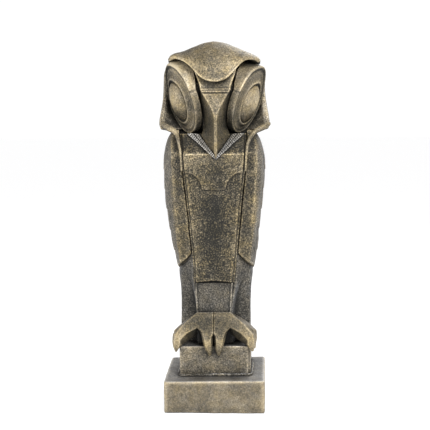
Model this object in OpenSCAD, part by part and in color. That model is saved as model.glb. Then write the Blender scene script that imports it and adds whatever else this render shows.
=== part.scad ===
// Owl statuette: a stylised owl on a small block and a square plinth.
// The casting stands with its feet over the front edge of the block.
// Millimetres. Z is up, X runs across the front, and the owl looks along -Y.
// Heights in the figure's tables are measured from the top of the block.

/* [Base] */
// Width and depth of the square plinth
plinth_w = 88; // [84:1:100]
// Height of the plinth
plinth_h = 28.5; // [24:0.5:36]
// Width of the perch block
block_w = 63; // [62:0.5:64]
// Height of the perch block
block_h = 26.5; // [20:0.5:34]
// Width of the corner chamfers on the perch block
block_chamfer = 2.8; // [1:0.1:4]
// Thickness of the felt pad under the plinth
felt_t = 1.5; // [1:0.1:2]

/* [Fixing] */
// Diameter of the tie rod
rod_d = 6; // [5:0.5:8]
// Height of the rod's top end above the block
rod_reach = 60; // [40:1:80]

/* [Eyes] */
// Angle of each eye disc away from straight ahead, in degrees
eye_yaw = 57; // [55:1:59]
// Angle of each eye disc down from level, in degrees
eye_pitch = 13; // [12:1:14]
// Lean of each oval, top outward, in degrees
eye_lean = 18; // [14:1:22]
// Half the width of an eye disc
eye_a = 20.3; // [19:0.1:20.5]
// Half the height of an eye disc
eye_b = 30; // [28:0.5:30.5]

/* [Relief] */
// Height of the bib above the breast shield
bib_rise = 1.2; // [0.8:0.1:2]
// Thickness of the crown's shell, as a share of its distance from the head's centre
crown_shell = 0.12; // [0.1:0.01:0.14]

/* [Hidden] */

perch_z = plinth_h + block_h;
glue = 0.15;              // gap between neighbouring castings
wing_glue = 0.5;          // gap between a wing and the core
block_front = -25;
block_back = 31;
plinth_corner = 2.5;
felt_inset = 6;
hole_gap = 0.4;           // how much wider a hole is than the rod
nut_h = 5;
washer_t = 1.6;
washer_d = 12;
pocket_d = 18;            // pocket for the nut under the plinth
pocket_h = 12;
dowel_d = 10;

// ---------- tables of the figure: [height, value] ----------
ridge_z = 171;            // the level line across the chest and both wings
shield_half = [[56, 15.7], [78, 17.2], [122, 21.2], [161, 25.5], [171, 26.2], [190, 27]];
shield_front = [[56, -24], [110, -29], [171, -35.5], [187, -21.6]];
core_front = [[0, -16], [30, -17.2], [56, -18.6], [171, -28], [184, -16.5], [190, -4]];
core_corner = [[0, 17], [36, 17], [62, 24], [85, 27], [171, 33], [190, 31.6]];
core_rake = [[0, 10], [36, 10], [62, 6], [85, 3], [171, 1.5], [190, 1.5]];
core_half = [[0, 31.5], [46, 31.6], [62, 32.4], [100, 31.4], [140, 36], [171, 38.2], [184, 35.6], [190, 33]];
core_back = [[0, 27], [60, 26], [120, 31], [165, 34], [190, 31]];
wing_front = [[64, -20.5], [110, -25], [171, -31.5], [190, -17.5]];
wing_corner = [[56, 29], [75, 30.4], [115, 34.5], [139, 36], [171, 37.4], [183, 36.5], [190, 33]];
wing_half = [
    [44, 31.6], [70, 34], [86, 37.5], [108, 40.2], [129, 43.1], [150, 44.8], [161, 45.3], [171, 44.3],
    [179, 42.4], [186, 39.3], [190, 35.5]
];
wing_back = [[44, 29], [90, 33], [130, 37.5], [165, 39.5], [180, 38.5], [190, 35]];
wing_end = [[44, 0.79], [90, 0.86], [125, 0.93], [148, 0.98], [190, 0.98]];
wing_hem = [[0, 82.5], [0.2, 75], [0.42, 70], [0.6, 68], [0.8, 55], [1, 45]];
tail_half = [[1, 15.5], [45, 13.5], [90, 9.8], [125, 5], [148, 1.2]];
tail_rise = [[1, 6], [25, 4], [60, 2.6], [148, 2.2]];
widest_y = 0;             // depth at which the body is widest

hood_half = [
    [190, 47.4], [193, 48.9], [196, 49.1], [200, 48.5], [207, 47.2], [214, 46.3], [221, 45.4], [236, 45],
    [240, 44.9], [244, 43.2], [249, 40.4]
];
hood_edge_y = [[190, -9.5], [196, -9], [207, -4], [213, 0.5], [219, 3.8], [228, 5], [242, 6]];
hood_back = [[186, 42.5], [196, 43.5], [214, 43], [235, 40], [249, 35.5]];
hood_wall = 3.5;
hood_top = 243.8;
skull_top = 244;

mask_ridge = [
    [166.5, [0.5, -38.4]], [171, [0.9, -41.3]], [178, [1, -43]], [186, [1, -43.7]], [193, [1, -43.8]],
    [200, [1.1, -43.4]], [203, [1.5, -42.6]], [209, [3.3, -40.2]], [215, [6.8, -37]], [219, [9.1, -35.2]],
    [223.2, [11.8, -33.4]], [224.4, [12.2, -31.8]], [231, [14, -31]], [238, [16.8, -28]], [242, [18.6, -25.4]]
];
mask_side = [
    [166.5, [0.9, -37.2]], [171, [3.7, -36.6]], [178, [7.8, -31]], [186, [12.4, -24.6]], [190, [11.2, -22]],
    [193, [9.8, -21.4]], [200, [10.4, -21.4]], [209, [13, -21.4]], [215, [14.6, -21.4]], [219, [14.6, -21.4]],
    [223.2, [13.4, -21.6]], [224.4, [13.4, -21.6]], [231, [14.6, -21.4]], [238, [16.9, -21.4]],
    [242, [18.8, -21.4]]
];
mask_back_y = -21;

// Front rim, top ridge and back rim of the crown, from the centre to the right-hand lobe
crown_front = [
    [0, [0, -37, 231]], [0.25, [9.5, -35.8, 233.4]], [0.45, [16.4, -32.5, 239.6]], [0.6, [21.8, -29, 245.6]],
    [0.75, [28.2, -24, 249.8]], [0.9, [35.6, -15.6, 250.4]], [1, [40.2, -8.4, 247.8]]
];
crown_ridge = [
    [0, [0, -2, 267]], [0.2, [8, -2, 265.8]], [0.4, [17, -2, 262.6]], [0.6, [26, -2, 258.9]],
    [0.8, [35, -2, 255.6]], [0.93, [40.6, -2, 252.6]], [1, [42.4, -2, 249.8]]
];
crown_rear = [[0, [0, 39, 244]], [0.5, [24, 31, 244.2]], [0.8, [36.8, 17, 245]], [1, [42.4, 4, 247.4]]];
head_middle = [0, 0, 225];
lip_rise = 0.8;           // the raised lip along the crown's front rim

// Centre line of a collar, from the hood's corner down to the shield's side
collar_line = [
    [0, [46, -12.6, 195.2]], [0.15, [42.4, -16.8, 192.6]], [0.3, [38, -20.5, 190.6]], [0.42, [34.2, -24, 188.6]],
    [0.54, [31.7, -27.4, 185]], [0.66, [30, -30.6, 180.6]], [0.78, [28.6, -34, 174]], [0.88, [27.8, -35.2, 167]],
    [1, [27.4, -34.6, 156]]
];
collar_width = [[0, 4.6], [0.12, 5.2], [0.35, 4.6], [0.75, 2.8], [1, 1.6]];

eye_centre = [29.4, -14.5, 215.6];
eye_t = 7;                // thickness of an eye disc below the brow
eye_break = 8.5;          // height on the disc above which it thickens
eye_taper = 0.456;        // how fast it thickens
eye_point = 0.13;         // how far the outline is drawn out at its top
eye_point_at = 77.5;
eye_point_spread = 25;
eye_axis = [11, -3.5];    // the rings on the disc close up towards this point
eyeball_share = 0.56;
eyeball_middle = [6, -0.5];
// Across the disc, from its back over the rim and down into the eyeball's seat: [share of the outline, height]
eye_profile = [
    [1, -30], [1, -0.4], [0.985, 0], [0.957, 0], [0.92, -1.3], [0.86, -1.4], [0.71, -0.9], [0.655, -0.1],
    [0.635, -0.1], [0.6, -1.8], [0.56, -1.8], [0.56, -3.5]
];
// The disc's rear edge: [height on the disc, distance from the disc's centre]
eye_rear = [[-28, 0], [-24, 8], [-18, 14], [-8, 19.4], [2, 21.4], [12, 21.4], [20, 20.2], [27, 17.8], [31, 14]];
eye_gap = 1.6;            // undercut behind an eye disc

// ---------- curves ----------
function segment(x, t, i = 0) = i >= len(t) - 2 || x < t[i + 1][0] ? i : segment(x, t, i + 1);
function slope(t, i) =
    let (a = max(0, i - 1), b = min(len(t) - 1, i + 1)) (t[b][1] - t[a][1]) / (t[b][0] - t[a][0]);
// Smooth curve through a table of [position, value] rows
function curve(x, t) =
    let (
        i = segment(x, t), h = t[i + 1][0] - t[i][0], s = max(0, min(1, (x - t[i][0]) / h)),
        a = slope(t, i) * h, b = slope(t, i + 1) * h
    )
    t[i][1] * (2 * s ^ 3 - 3 * s ^ 2 + 1) + a * (s ^ 3 - 2 * s ^ 2 + s)
        + t[i + 1][1] * (3 * s ^ 2 - 2 * s ^ 3) + b * (s ^ 3 - s ^ 2);
function mix(a, b, s) = a * (1 - s) + b * s;
function steps(a, b, n) = [for (i = [0 : n]) mix(a, b, i / n)];

// ---------- solids from grids of points ----------
function quad(a, b, c, d) = [[a, b, c], [a, c, d]];
function volume_sign(p, faces) =
    let (v = [for (f = faces) p[f[0]] * cross(p[f[1]], p[f[2]])]) v * [for (x = v) 1] > 0 ? 1 : -1;
function turned(faces) = [for (f = faces) [f[2], f[1], f[0]]];
module closed_mesh(points, faces) {
    polyhedron(points, volume_sign(points, faces) > 0 ? turned(faces) : faces);
}

// Solid between two grids of the same size, outer[row][column] and inner[row][column]
module skin(outer, inner) {
    rows = len(outer) - 1;
    cols = len(outer[0]) - 1;
    w = cols + 1;
    n = w * (rows + 1);
    points = concat([for (r = outer) each r], [for (r = inner) each r]);
    faces = [
        for (k = [0 : rows - 1], i = [0 : cols - 1])
            each concat(
                quad(k * w + i, k * w + i + 1, (k + 1) * w + i + 1, (k + 1) * w + i),
                quad(n + k * w + i, n + (k + 1) * w + i, n + (k + 1) * w + i + 1, n + k * w + i + 1)
            ),
        for (i = [0 : cols - 1])
            each concat(
                quad(i, n + i, n + i + 1, i + 1),
                quad(rows * w + i + 1, n + rows * w + i + 1, n + rows * w + i, rows * w + i)
            ),
        for (k = [0 : rows - 1])
            each concat(
                quad((k + 1) * w, n + (k + 1) * w, n + k * w, k * w),
                quad(k * w + cols, n + k * w + cols, n + (k + 1) * w + cols, (k + 1) * w + cols)
            )
    ];
    closed_mesh(points, faces);
}

// Solid through closed outlines of the same number of points
module loft(rings) {
    rows = len(rings) - 1;
    w = len(rings[0]);
    ends = [for (r = [rings[0], rings[rows]]) [for (j = [0 : 2]) [for (p = r) p[j]] * [for (p = r) 1 / w]]];
    points = concat([for (r = rings) each r], ends);
    n = w * (rows + 1);
    faces = [
        for (k = [0 : rows - 1], i = [0 : w - 1])
            each quad(k * w + i, k * w + (i + 1) % w, (k + 1) * w + (i + 1) % w, (k + 1) * w + i),
        for (i = [0 : w - 1]) [n, (i + 1) % w, i],
        for (i = [0 : w - 1]) [n + 1, rows * w + i, rows * w + (i + 1) % w]
    ];
    closed_mesh(points, faces);
}
module both_sides(side) {
    mirror([side < 0 ? 1 : 0, 0, 0]) children();
}
module on_perch() {
    translate([0, 0, perch_z]) children();
}

// ---------- sections of the body ----------
back_power = 2.4;
function back_depth(x, half, back) =
    widest_y + (back - widest_y) * (1 - min(1, abs(x) / half) ^ back_power) ^ (1 / back_power);
// One point of a section: u runs from 0 at the wing's front edge to 0.2 at the front corner,
// 0.5 at the widest place and 1 at the middle of the back
function section(u, edge, front, corner, rake, half, back) =
    u <= 0.2 ? [mix(edge, corner, u / 0.2), front + rake * u / 0.2]
    : u <= 0.5 ?
        let (s = (u - 0.2) / 0.3, a = [corner, front + rake], c = [half, widest_y])
        let (b = [half, mix(a[1], c[1], 0.4)])
        a * (1 - s) ^ 2 + b * 2 * s * (1 - s) + c * s ^ 2
    : let (w = (u - 0.5) * 180)
        [half * cos(w) ^ (2 / back_power), widest_y + (back - widest_y) * sin(w) ^ (2 / back_power)];
function wing_edge(z) = lookup(z, shield_half) + 2.7;
function core_point(u, z) =
    section(
        u, min(wing_edge(z), lookup(z, core_corner) - 2), lookup(z, core_front), lookup(z, core_corner),
        lookup(z, core_rake), curve(z, core_half), curve(z, core_back)
    );
function wing_point(u, z) =
    section(
        u, wing_edge(z), lookup(z, wing_front), curve(z, wing_corner), 1, curve(z, wing_half),
        curve(z, wing_back)
    );
function raised(p, z) = [p[0], p[1], z];

// ---------- base ----------
module rounded_plan(w, d, r) {
    square([w - 2 * r, d], center = true);
    square([w, d - 2 * r], center = true);
    for (x = [-1, 1], y = [-1, 1])
        translate([x * (w / 2 - r), y * (d / 2 - r)]) circle(r, $fn = 48);
}
module block_plan(grow = 0) {
    x = block_w / 2 + grow;
    c = block_chamfer + grow / 3;
    f = block_front - grow;
    b = block_back + grow;
    polygon([[-x + c, f], [x - c, f], [x, f + c], [x, b - c], [x - c, b], [-x + c, b], [-x, b - c], [-x, f + c]]);
}
module rod_hole(from, to) {
    translate([0, 0, from]) cylinder(h = to - from, d = rod_d + hole_gap, $fn = 48);
}

module plinth() {
    color("dimgray") difference() {
        linear_extrude(plinth_h) rounded_plan(plinth_w, plinth_w, plinth_corner);
        translate([0, 0, -1]) linear_extrude(felt_t + 1)
            rounded_plan(plinth_w - 2 * felt_inset, plinth_w - 2 * felt_inset, plinth_corner);
        translate([0, 0, -1]) cylinder(h = pocket_h + 1, d = pocket_d, $fn = 64);
        rod_hole(pocket_h - 1, plinth_h + 1);
    }
}
module felt_pad() {
    w = plinth_w - 2 * felt_inset - 2 * glue;
    color("darkolivegreen") linear_extrude(felt_t) rounded_plan(w, w, plinth_corner);
}
module perch_block() {
    color("dimgray") difference() {
        translate([0, 0, plinth_h]) linear_extrude(block_h) block_plan();
        rod_hole(plinth_h - 1, perch_z + 1);
    }
}
module bedding_joint() {
    color("tan") translate([0, 0, plinth_h]) linear_extrude(2) difference() {
        block_plan(1.8);
        block_plan(glue);
    }
}
module tie_rod() {
    color("silver") translate([0, 0, felt_t + 2])
        cylinder(h = perch_z + rod_reach - felt_t - 2, d = rod_d, $fn = 48);
}
module washer() {
    color("silver") translate([0, 0, pocket_h - washer_t]) difference() {
        cylinder(h = washer_t, d = washer_d, $fn = 48);
        translate([0, 0, -1]) cylinder(h = washer_t + 2, d = rod_d + hole_gap, $fn = 48);
    }
}
module nut() {
    color("silver") translate([0, 0, pocket_h - washer_t - nut_h]) difference() {
        cylinder(h = nut_h, d = 11.5, $fn = 6);
        translate([0, 0, -1]) cylinder(h = nut_h + 2, d = rod_d + glue, $fn = 48);
    }
}

// ---------- body ----------
core_levels = [0, 15, 31, 46, 62, 74, 86, 100, 115, 130, 145, 158, 171, 177, 184, 190];
core_places = concat([0, 0.1], steps(0.2, 0.5, 5), steps(0.57, 0.93, 6));
function core_ring(z) = [
    for (u = core_places) raised(core_point(u, z), z),
    raised(core_point(1, z), z),
    for (i = [len(core_places) - 1 : -1 : 0])
        let (p = core_point(core_places[i], z)) [-p[0], p[1], z]
];
module torso_core() {
    color("dimgray") difference() {
        on_perch() loft([for (z = core_levels) core_ring(z)]);
        rod_hole(perch_z - 1, perch_z + rod_reach + 1);
        on_perch() translate([0, 0, 172]) cylinder(h = 30, d = dowel_d + glue, $fn = 48);
    }
}

// The wing lies on the core, from the shield's side round to the middle of the back
shoulder_levels = [190, 184, 177, ridge_z];
wing_rows = 15;
wing_places = concat([0, 0.1], steps(0.2, 0.5, 6), steps(0.56, 1, 9));
function wing_z(s, k) =
    k < 3 ? shoulder_levels[k] : mix(ridge_z, curve(s, wing_hem), (k - 3) / (wing_rows - 3));
function wing_grid(inner) = [
    for (k = [0 : wing_rows]) [
        for (s = wing_places)
            let (
                z = wing_z(s, k), u = s * lookup(z, wing_end),
                p = wing_point(u, z), q = core_point(u, z), out = (p - q) / norm(p - q)
            )
            raised(inner ? q + out * wing_glue : p, z)
    ]
];
module wing(side) {
    color("slategray") on_perch() both_sides(side) skin(wing_grid(false), wing_grid(true));
}
module left_wing() { wing(-1); }
module right_wing() { wing(1); }

// Across the shield: a low ledge at each side, a step, and a faintly crowned face
shield_across = [
    [-1, 1.9, 2.5], [-1, 0.1, 2.2], [-1, 0, 0.9], [-1, -0.9, 0.15], [-0.6, 0, -0.2], [-0.2, 0, -0.4],
    [0.2, 0, -0.4], [0.6, 0, -0.2], [1, -0.9, 0.15], [1, 0, 0.9], [1, 0.1, 2.2], [1, 1.9, 2.5]
];
shield_levels = [0, 0.08, 0.2, 0.34, 0.47, 0.6, 0.73, 0.86, 1];
function shield_foot(x) = 59 - 2.4 * abs(x) / 15.8;
function shield_x(c, z) = c[0] * lookup(z, shield_half) + sign(c[0]) * c[1];
function shield_grid(inner) = [
    for (z0 = concat([for (v = shield_levels) mix(58, ridge_z, v)], [177, 184, 187]))
        [
            for (c = shield_across)
                let (x = shield_x(c, z0), z = z0 == 58 ? shield_foot(x) : z0)
                [x, inner ? lookup(z, core_front) - glue : lookup(z, shield_front) + c[2], z]
        ]
];
module breast_shield() {
    color("rosybrown") on_perch() skin(shield_grid(false), shield_grid(true));
}

// The bib covers the top of the shield and ends in a level step between two round notches
bib_foot = 139.5;
bib_top = 170.4;
bib_notch = [13, 15];      // width and height of the round notch in each lower corner
bib_levels = concat([for (a = steps(0, 90, 7)) bib_foot + bib_notch[1] * sin(a)], [162, bib_top]);
function bib_half(z) =
    let (t = min(1, (z - bib_foot) / bib_notch[1])) lookup(z, shield_half) - 0.4 - bib_notch[0] * sqrt(1 - t ^ 2);
function bib_grid(outer) = [
    for (z = bib_levels)
        let (edge = z == bib_foot ? 0.5 : 1)
        [
            for (s = [-1, -0.94, -0.6, -0.2, 0.2, 0.6, 0.94, 1])
                let (rim = abs(s) == 1 ? 0.5 : edge)
                [s * bib_half(z), lookup(z, shield_front) - 0.5 - (outer ? bib_rise * rim : 0), z]
        ]
];
module bib() {
    color("burlywood") on_perch() skin(bib_grid(true), bib_grid(false));
}

// Below the shield: a set-back panel with a thin raised border at each side
panel_across = [[-1, 0], [-0.92, 0], [-0.9, 0.9], [0.9, 0.9], [0.92, 0], [1, 0]];
function panel_grid(inner) = [
    for (z = [30, 43, 56.2]) [
        for (c = panel_across)
            [c[0] * lookup(z, [[30, 15.2], [57, 16.6]]), inner ? lookup(z, core_front) - glue : -21.6 + c[1], z]
    ]
];
module lower_panel() {
    color("burlywood") on_perch() skin(panel_grid(false), panel_grid(true));
}

// The tail fills the gap between the wings' rear edges and runs down to the block
tail_levels = [0.4, 6, 14, 26, 40, 55, 70, 85, 100, 115, 130, 146];
function tail_grid(inner) = [
    for (z = tail_levels) [
        for (s = steps(-1, 1, 10))
            let (x = s * curve(z, tail_half), y = back_depth(x, curve(z, core_half), curve(z, core_back)))
            [x, y + (inner ? glue : curve(z, tail_rise) * (1 - 0.35 * abs(s))), z]
    ]
];
module tail() {
    color("slategray") on_perch() skin(tail_grid(false), tail_grid(true));
}

// ---------- feet ----------
foot_edge = 0.8;           // how far the edges of a foot are eased
foot_spread = 1.03;
// Corners: [across, depth, height]
instep = [
    [0, -22.4, 30.2], [14, -22.4, 30.2], [17, -24.4, 27.6], [0, -25, 27.8], [0, -27.6, 17.6], [14.2, -27.4, 17.6],
    [17.8, -16, 26], [15, -16, 12], [0, -16, 12]
];
// Sections of the inner toe: [height, inner edge, outer edge, front, back]
inner_toe = [
    [17.6, 0, 14.2, -27.4, -16], [13.6, 0, 11.6, -28.4, -16], [9.6, 0.6, 10, -29.6, -16], [6, 1, 9.2, -31, -18],
    [2.6, 1.2, 8.4, -30.6, -20], [-2, 1.6, 7, -30, -24.8], [-7.8, 3, 4.4, -28, -25]
];
// Sections of the outer toes, corner by corner
outer_toe = [
    [[14.2, -27.4, 17.6], [17, -24.4, 27.6], [17.8, -20, 26], [14.4, -18.5, 9.8]],
    [[23.4, -29, 12.6], [26.4, -27, 19.4], [28.4, -20.6, 18.6], [21, -20.6, 5]],
    [[28.6, -31, 7.4], [32.6, -29.4, 11.4], [35, -22, 10.4], [27.2, -24, 1.4]],
    [[28.6, -31, 3.6], [33.4, -30.4, 6], [35.4, -24, 4.6], [28.2, -25.6, 0.2]],
    [[29.8, -30, -0.4], [33.4, -29.6, 0.4], [34.4, -26, 0], [30.4, -26, -1]],
    [[32, -28.4, -4], [32.8, -28, -3.8], [32.4, -27, -3.8]]
];
rear_toe = [
    [[15, -21.4, 27.6], [18, -15, 26.4], [14, -15, 18], [14, -21, 18]],
    [[25, -22.2, 20.6], [27.4, -13, 19.2], [23.4, -13, 11], [22.6, -22, 11]],
    [[33, -22.8, 14.2], [35, -15.4, 12.2], [31.4, -14.6, 4], [30, -22.4, 4]],
    [[34.4, -22.8, 7.6], [35.6, -17, 6.2], [33.2, -16.6, 1], [32.2, -22.4, 1]],
    [[34.6, -21.4, -2.6], [34, -20, -2.6], [33.4, -21, -2.2]]
];
function toe_section(k) =
    let (x0 = k[1], x1 = k[2], bevel = min(1.6, (x1 - x0) * 0.28), y1 = mix(k[3], k[4], 0.24))
    [
        [x0, k[4], k[0]], [x0, y1, k[0]], [x0 + (k[0] < 12 ? bevel : 0), k[3], k[0]],
        [x1 - (k[0] < 15 ? bevel : 0), k[3], k[0]], [x1, y1, k[0]], [x1, k[4], k[0]]
    ];
module stretch(corners) {
    hull() for (p = corners) translate(p) sphere(d = foot_edge, $fn = 4);
}
module toe(sections) {
    for (i = [0 : len(sections) - 2]) stretch(concat(sections[i], sections[i + 1]));
}
module foot(side) {
    color("peru") on_perch() both_sides(side) difference() {
        scale([foot_spread, 1, 1]) {
            stretch(instep);
            toe([for (k = inner_toe) toe_section(k)]);
            toe(outer_toe);
            toe(rear_toe);
        }
        translate([-10, -40, -40]) cube([10.2, 60, 90]);
        translate([0, 0, -block_h]) linear_extrude(block_h + 0.05) block_plan(glue);
        translate([0, 0, -0.1]) linear_extrude(35)
            polygon([[-1, -17.6], [17, -17.6], [32, -7.4], [32, 20], [-1, 20]]);
        translate([-1, -22, 30]) cube([60, 12, 12]);
    }
}
module left_foot() { foot(-1); }
module right_foot() { foot(1); }

// ---------- head ----------
eye_normal = [sin(eye_yaw) * cos(eye_pitch), -cos(eye_yaw) * cos(eye_pitch), -sin(eye_pitch)];
eye_right = [cos(eye_yaw), sin(eye_yaw), 0];
eye_up = [sin(eye_yaw) * sin(eye_pitch), -cos(eye_yaw) * sin(eye_pitch), cos(eye_pitch)];
// Depth of the plane that lies a given distance behind an eye disc's face
function eye_plane(x, z, behind) =
    eye_centre[1] - (eye_normal[0] * (x - eye_centre[0]) + eye_normal[2] * (z - eye_centre[2]) + behind)
        / eye_normal[1];
function eye_plane_x(y, z, behind) =
    eye_centre[0] - (eye_normal[1] * (y - eye_centre[1]) + eye_normal[2] * (z - eye_centre[2]) + behind)
        / eye_normal[0];

hood_places = concat(steps(0, 0.3, 3), steps(0.38, 0.92, 8));
// One point of the hood's section: s runs from 0 at the front edge to 1 at the middle of the back
function hood_point(s, z, inset) =
    let (
        half = curve(z, hood_half) - inset, back = curve(z, hood_back) - inset,
        edge = curve(z, hood_edge_y), y0 = max(2, edge + 5)
    )
    s <= 0.3 ? [half - (1 - s / 0.3) ^ 2 * 0.6, mix(edge, y0, s / 0.3), z]
    : let (w = (s - 0.3) / 0.7 * 90)
        [half * cos(w) ^ (2 / back_power), y0 + (back - y0) * sin(w) ^ (2 / back_power), z];
function hood_hem(s) = mix(191, 184, s ^ 1.5);
hood_rows = 11;
function hood_grid(inset) = [
    for (k = [0 : hood_rows])
        let (half_row = [for (s = hood_places) hood_point(s, mix(hood_hem(s), hood_top, k / hood_rows), inset)])
        concat(
            [for (p = half_row) [-p[0], p[1], p[2]]],
            [hood_point(1, mix(hood_hem(1), hood_top, k / hood_rows), inset)],
            [for (i = [len(half_row) - 1 : -1 : 0]) half_row[i]]
        )
];
module hood() {
    color("slategray") on_perch() skin(hood_grid(0), hood_grid(hood_wall));
}

// The skull: flat behind the mask, a cheek behind each eye disc, then out to the hood's wall
function cheek_behind(z) = eye_t + eye_gap + max(0, z - 223.6) * eye_taper * 1.05;
cheek_front = [[190, -14], [196, -10.5], [204, -5.5], [212, 0], [219, 4.6], [228, 6.6], [244, 7.6]];
skull_levels = [190.3, 194, 198, 203, 208, 213, 218, 223.6, 230, 237, skull_top];
skull_turns = steps(0.4, 0.92, 6);
// A point beside the eye disc's rear edge, a given distance behind the disc's face
function beside_eye(z, behind) =
    let (
        v = (z - eye_centre[2]) / eye_up[2], u = lookup(v, eye_rear) + 1.3,
        x = eye_centre[0] + eye_right[0] * u + eye_up[0] * v - eye_normal[0] * behind
    )
    [x, eye_plane(x, z, behind), z];
function skull_half_ring(z) =
    let (
        behind = cheek_behind(z), x0 = max(4, eye_plane_x(mask_back_y + 0.3, z, behind)), y0 = mask_back_y + 0.3,
        back = beside_eye(z, behind), back_y = max(y0 + 1, back[1]), inset = hood_wall + 2 * glue,
        wall = hood_point(0, z, inset)
    )
    concat(
        [[x0 * 0.5, y0, z], [x0, y0, z], [mix(x0, back[0], 0.5), mix(y0, back_y, 0.5), z], [back[0], back_y, z]],
        [beside_eye(z, 3.4), [wall[0] - 0.5, lookup(z, cheek_front), z]],
        [hood_point(0.3, z, inset)],
        [for (s = skull_turns) hood_point(s, z, inset)]
    );
module skull() {
    loft([
        for (z = skull_levels)
            let (h = skull_half_ring(z), m = len(h) - 1)
            concat(h, [hood_point(1, z, hood_wall + 2 * glue)], [for (i = [m : -1 : 0]) [-h[i][0], h[i][1], z]])
    ]);
}
module head_core() {
    color("dimgray") difference() {
        on_perch() skull();
        on_perch() translate([0, 0, 180]) cylinder(h = 30, d = dowel_d + glue, $fn = 48);
    }
}
module neck_dowel() {
    color("silver") on_perch() translate([0, 0, 173]) cylinder(h = 36, d = dowel_d, $fn = 48);
}

// The mask: brow, the triangle below it and the beak's prow, between the eye discs
mask_levels = [for (row = mask_ridge) row[0]];
mask_across = [-1, -0.66, -0.33, 0, 0.33, 0.66, 1];
function mask_row(z, inner) =
    let (
        r = lookup_pair(z, mask_ridge), e = lookup_pair(z, mask_side),
        behind = z < 190 ? min(mask_back_y, chest_face(z)) : mask_back_y,
        side = [
            for (s = [1, 0.7, 0.4, 0.12])
                [mix(r[0], e[0], s), mix(r[1], e[1], s) + sin(180 * s) * 0.8, z]
        ],
        half = concat(side, [for (s = [1, 0.66, 0.33]) [r[0] * s, r[1], z]]),
        row = concat(
            [for (p = half) [-p[0], p[1], z]], [[0, r[1], z]], [for (i = [6 : -1 : 0]) half[i]]
        )
    )
    inner ? [for (p = row) [p[0] * 0.98, behind, z]] : row;
function lookup_pair(z, t) =
    [lookup(z, [for (r = t) [r[0], r[1][0]]]), lookup(z, [for (r = t) [r[0], r[1][1]]])];
module face_mask() {
    color("tan") on_perch()
        skin([for (z = mask_levels) mask_row(z, false)], [for (z = mask_levels) mask_row(z, true)]);
}

crown_places = steps(0, 1, 12);
crown_turns = concat([0, 3, 6], steps(18, 90, 6), steps(104, 180, 6));
function crown_point(s, turn) =
    let (f = curve(s, crown_front), t = curve(s, crown_ridge), b = curve(s, crown_rear))
    turn <= 90 ?
        [
            mix(f[0], t[0], sin(turn)),
            mix(t[1], f[1], cos(turn)) - (turn < 4 ? lip_rise : 0),
            mix(f[2], t[2], sin(turn))
        ]
    : let (w = turn - 90) [mix(t[0], b[0], 1 - cos(w)), mix(t[1], b[1], sin(w)), mix(b[2], t[2], cos(w))];
function crown_row(turn, inner) =
    let (
        half = [
            for (s = crown_places)
                let (
                    p = crown_point(s, turn), q = mix(p, head_middle, crown_shell),
                    rim = crown_point(s, turn > 90 ? 180 : 0)[2]
                )
                inner ? [q[0], q[1], max(q[2], rim)] : p
        ]
    )
    concat([for (i = [12 : -1 : 1]) [-half[i][0], half[i][1], half[i][2]]], half);
module crown_cap() {
    color("tan") on_perch()
        skin([for (a = crown_turns) crown_row(a, false)], [for (a = crown_turns) crown_row(a, true)]);
}

// A collar is the rolled edge of the hood, which runs down to the shield's side
collar_stops = steps(0, 1, 12);
module collar_bead(s) {
    w = curve(s, collar_width);
    translate(curve(s, collar_line)) resize([w, w, w]) sphere(1, $fn = 10);
}
module shield_space() {
    grow = 0.1;
    loft([
        for (z = [150, ridge_z, 196])
            let (x = lookup(z, shield_half) + 2 + grow, y = lookup(z, shield_front) + 2.2 - grow)
            [[-x, y, z], [x, y, z], [x, 0, z], [-x, 0, z]]
    ]);
}
module wing_space() {
    loft([
        for (z = [150, ridge_z, 190.2])
            let (y = lookup(z, wing_front) - glue, x = curve(z, wing_corner) + glue, w = curve(z, wing_half))
            [[-20, y, z], [x, y + 1, z], [w, y + 14, z], [w, 20, z], [-20, 20, z]]
    ]);
}
module collar(side) {
    color("tan") on_perch() both_sides(side) difference() {
        for (i = [0 : 11]) hull() {
            collar_bead(collar_stops[i]);
            collar_bead(collar_stops[i + 1]);
        }
        translate([-40, -60, 140]) cube([40 + 26.3, 80, 36]);
        skull();
        shield_space();
        wing_space();
        loft([
            for (z = [189, 193, 196, 200])
                let (e = hood_point(0, z, -glue), i = hood_point(0, z, hood_wall + glue))
                [[i[0], e[1] - glue, z], [e[0], e[1] - glue, z], [e[0], 20, z], [i[0], 20, z]]
        ]);
    }
}
module left_collar() { collar(-1); }
module right_collar() { collar(1); }

// Depth of what lies under the bands and the beak: the bib, then the slope above the chest ridge
function chest_face(z) =
    lookup(z, shield_front) - lookup(z, [[171, bib_rise + 0.5 + glue], [177, 0.55 + glue]]);
// Two strips side by side, with a groove between them, that meet under the beak in a V
band_outer = [[25, 187.4], [0.7, 161.6]];
band_inner = [[13.3, 186.4], [0.7, 166]];
band_across = [[0, 0.9], [0.05, 1.8], [0.42, 1.8], [0.46, 0.8], [0.54, 0.8], [0.58, 2.3], [0.94, 2.3], [1, 1.4]];
function band_row(t, inner) = [
    for (c = band_across)
        let (p = mix(mix(band_outer[0], band_outer[1], t), mix(band_inner[0], band_inner[1], t), c[0]))
        [p[0], chest_face(p[1]) - (inner ? 0 : c[1]), p[1]]
];
module throat_band(side) {
    levels = [0, 0.15, 0.3, 0.45, 0.58, 0.64, 0.72, 0.8, 0.9, 1];
    color("wheat") on_perch() both_sides(side)
        skin([for (t = levels) band_row(t, false)], [for (t = levels) band_row(t, true)]);
}
module left_throat_band() { throat_band(-1); }
module right_throat_band() { throat_band(1); }

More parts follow.
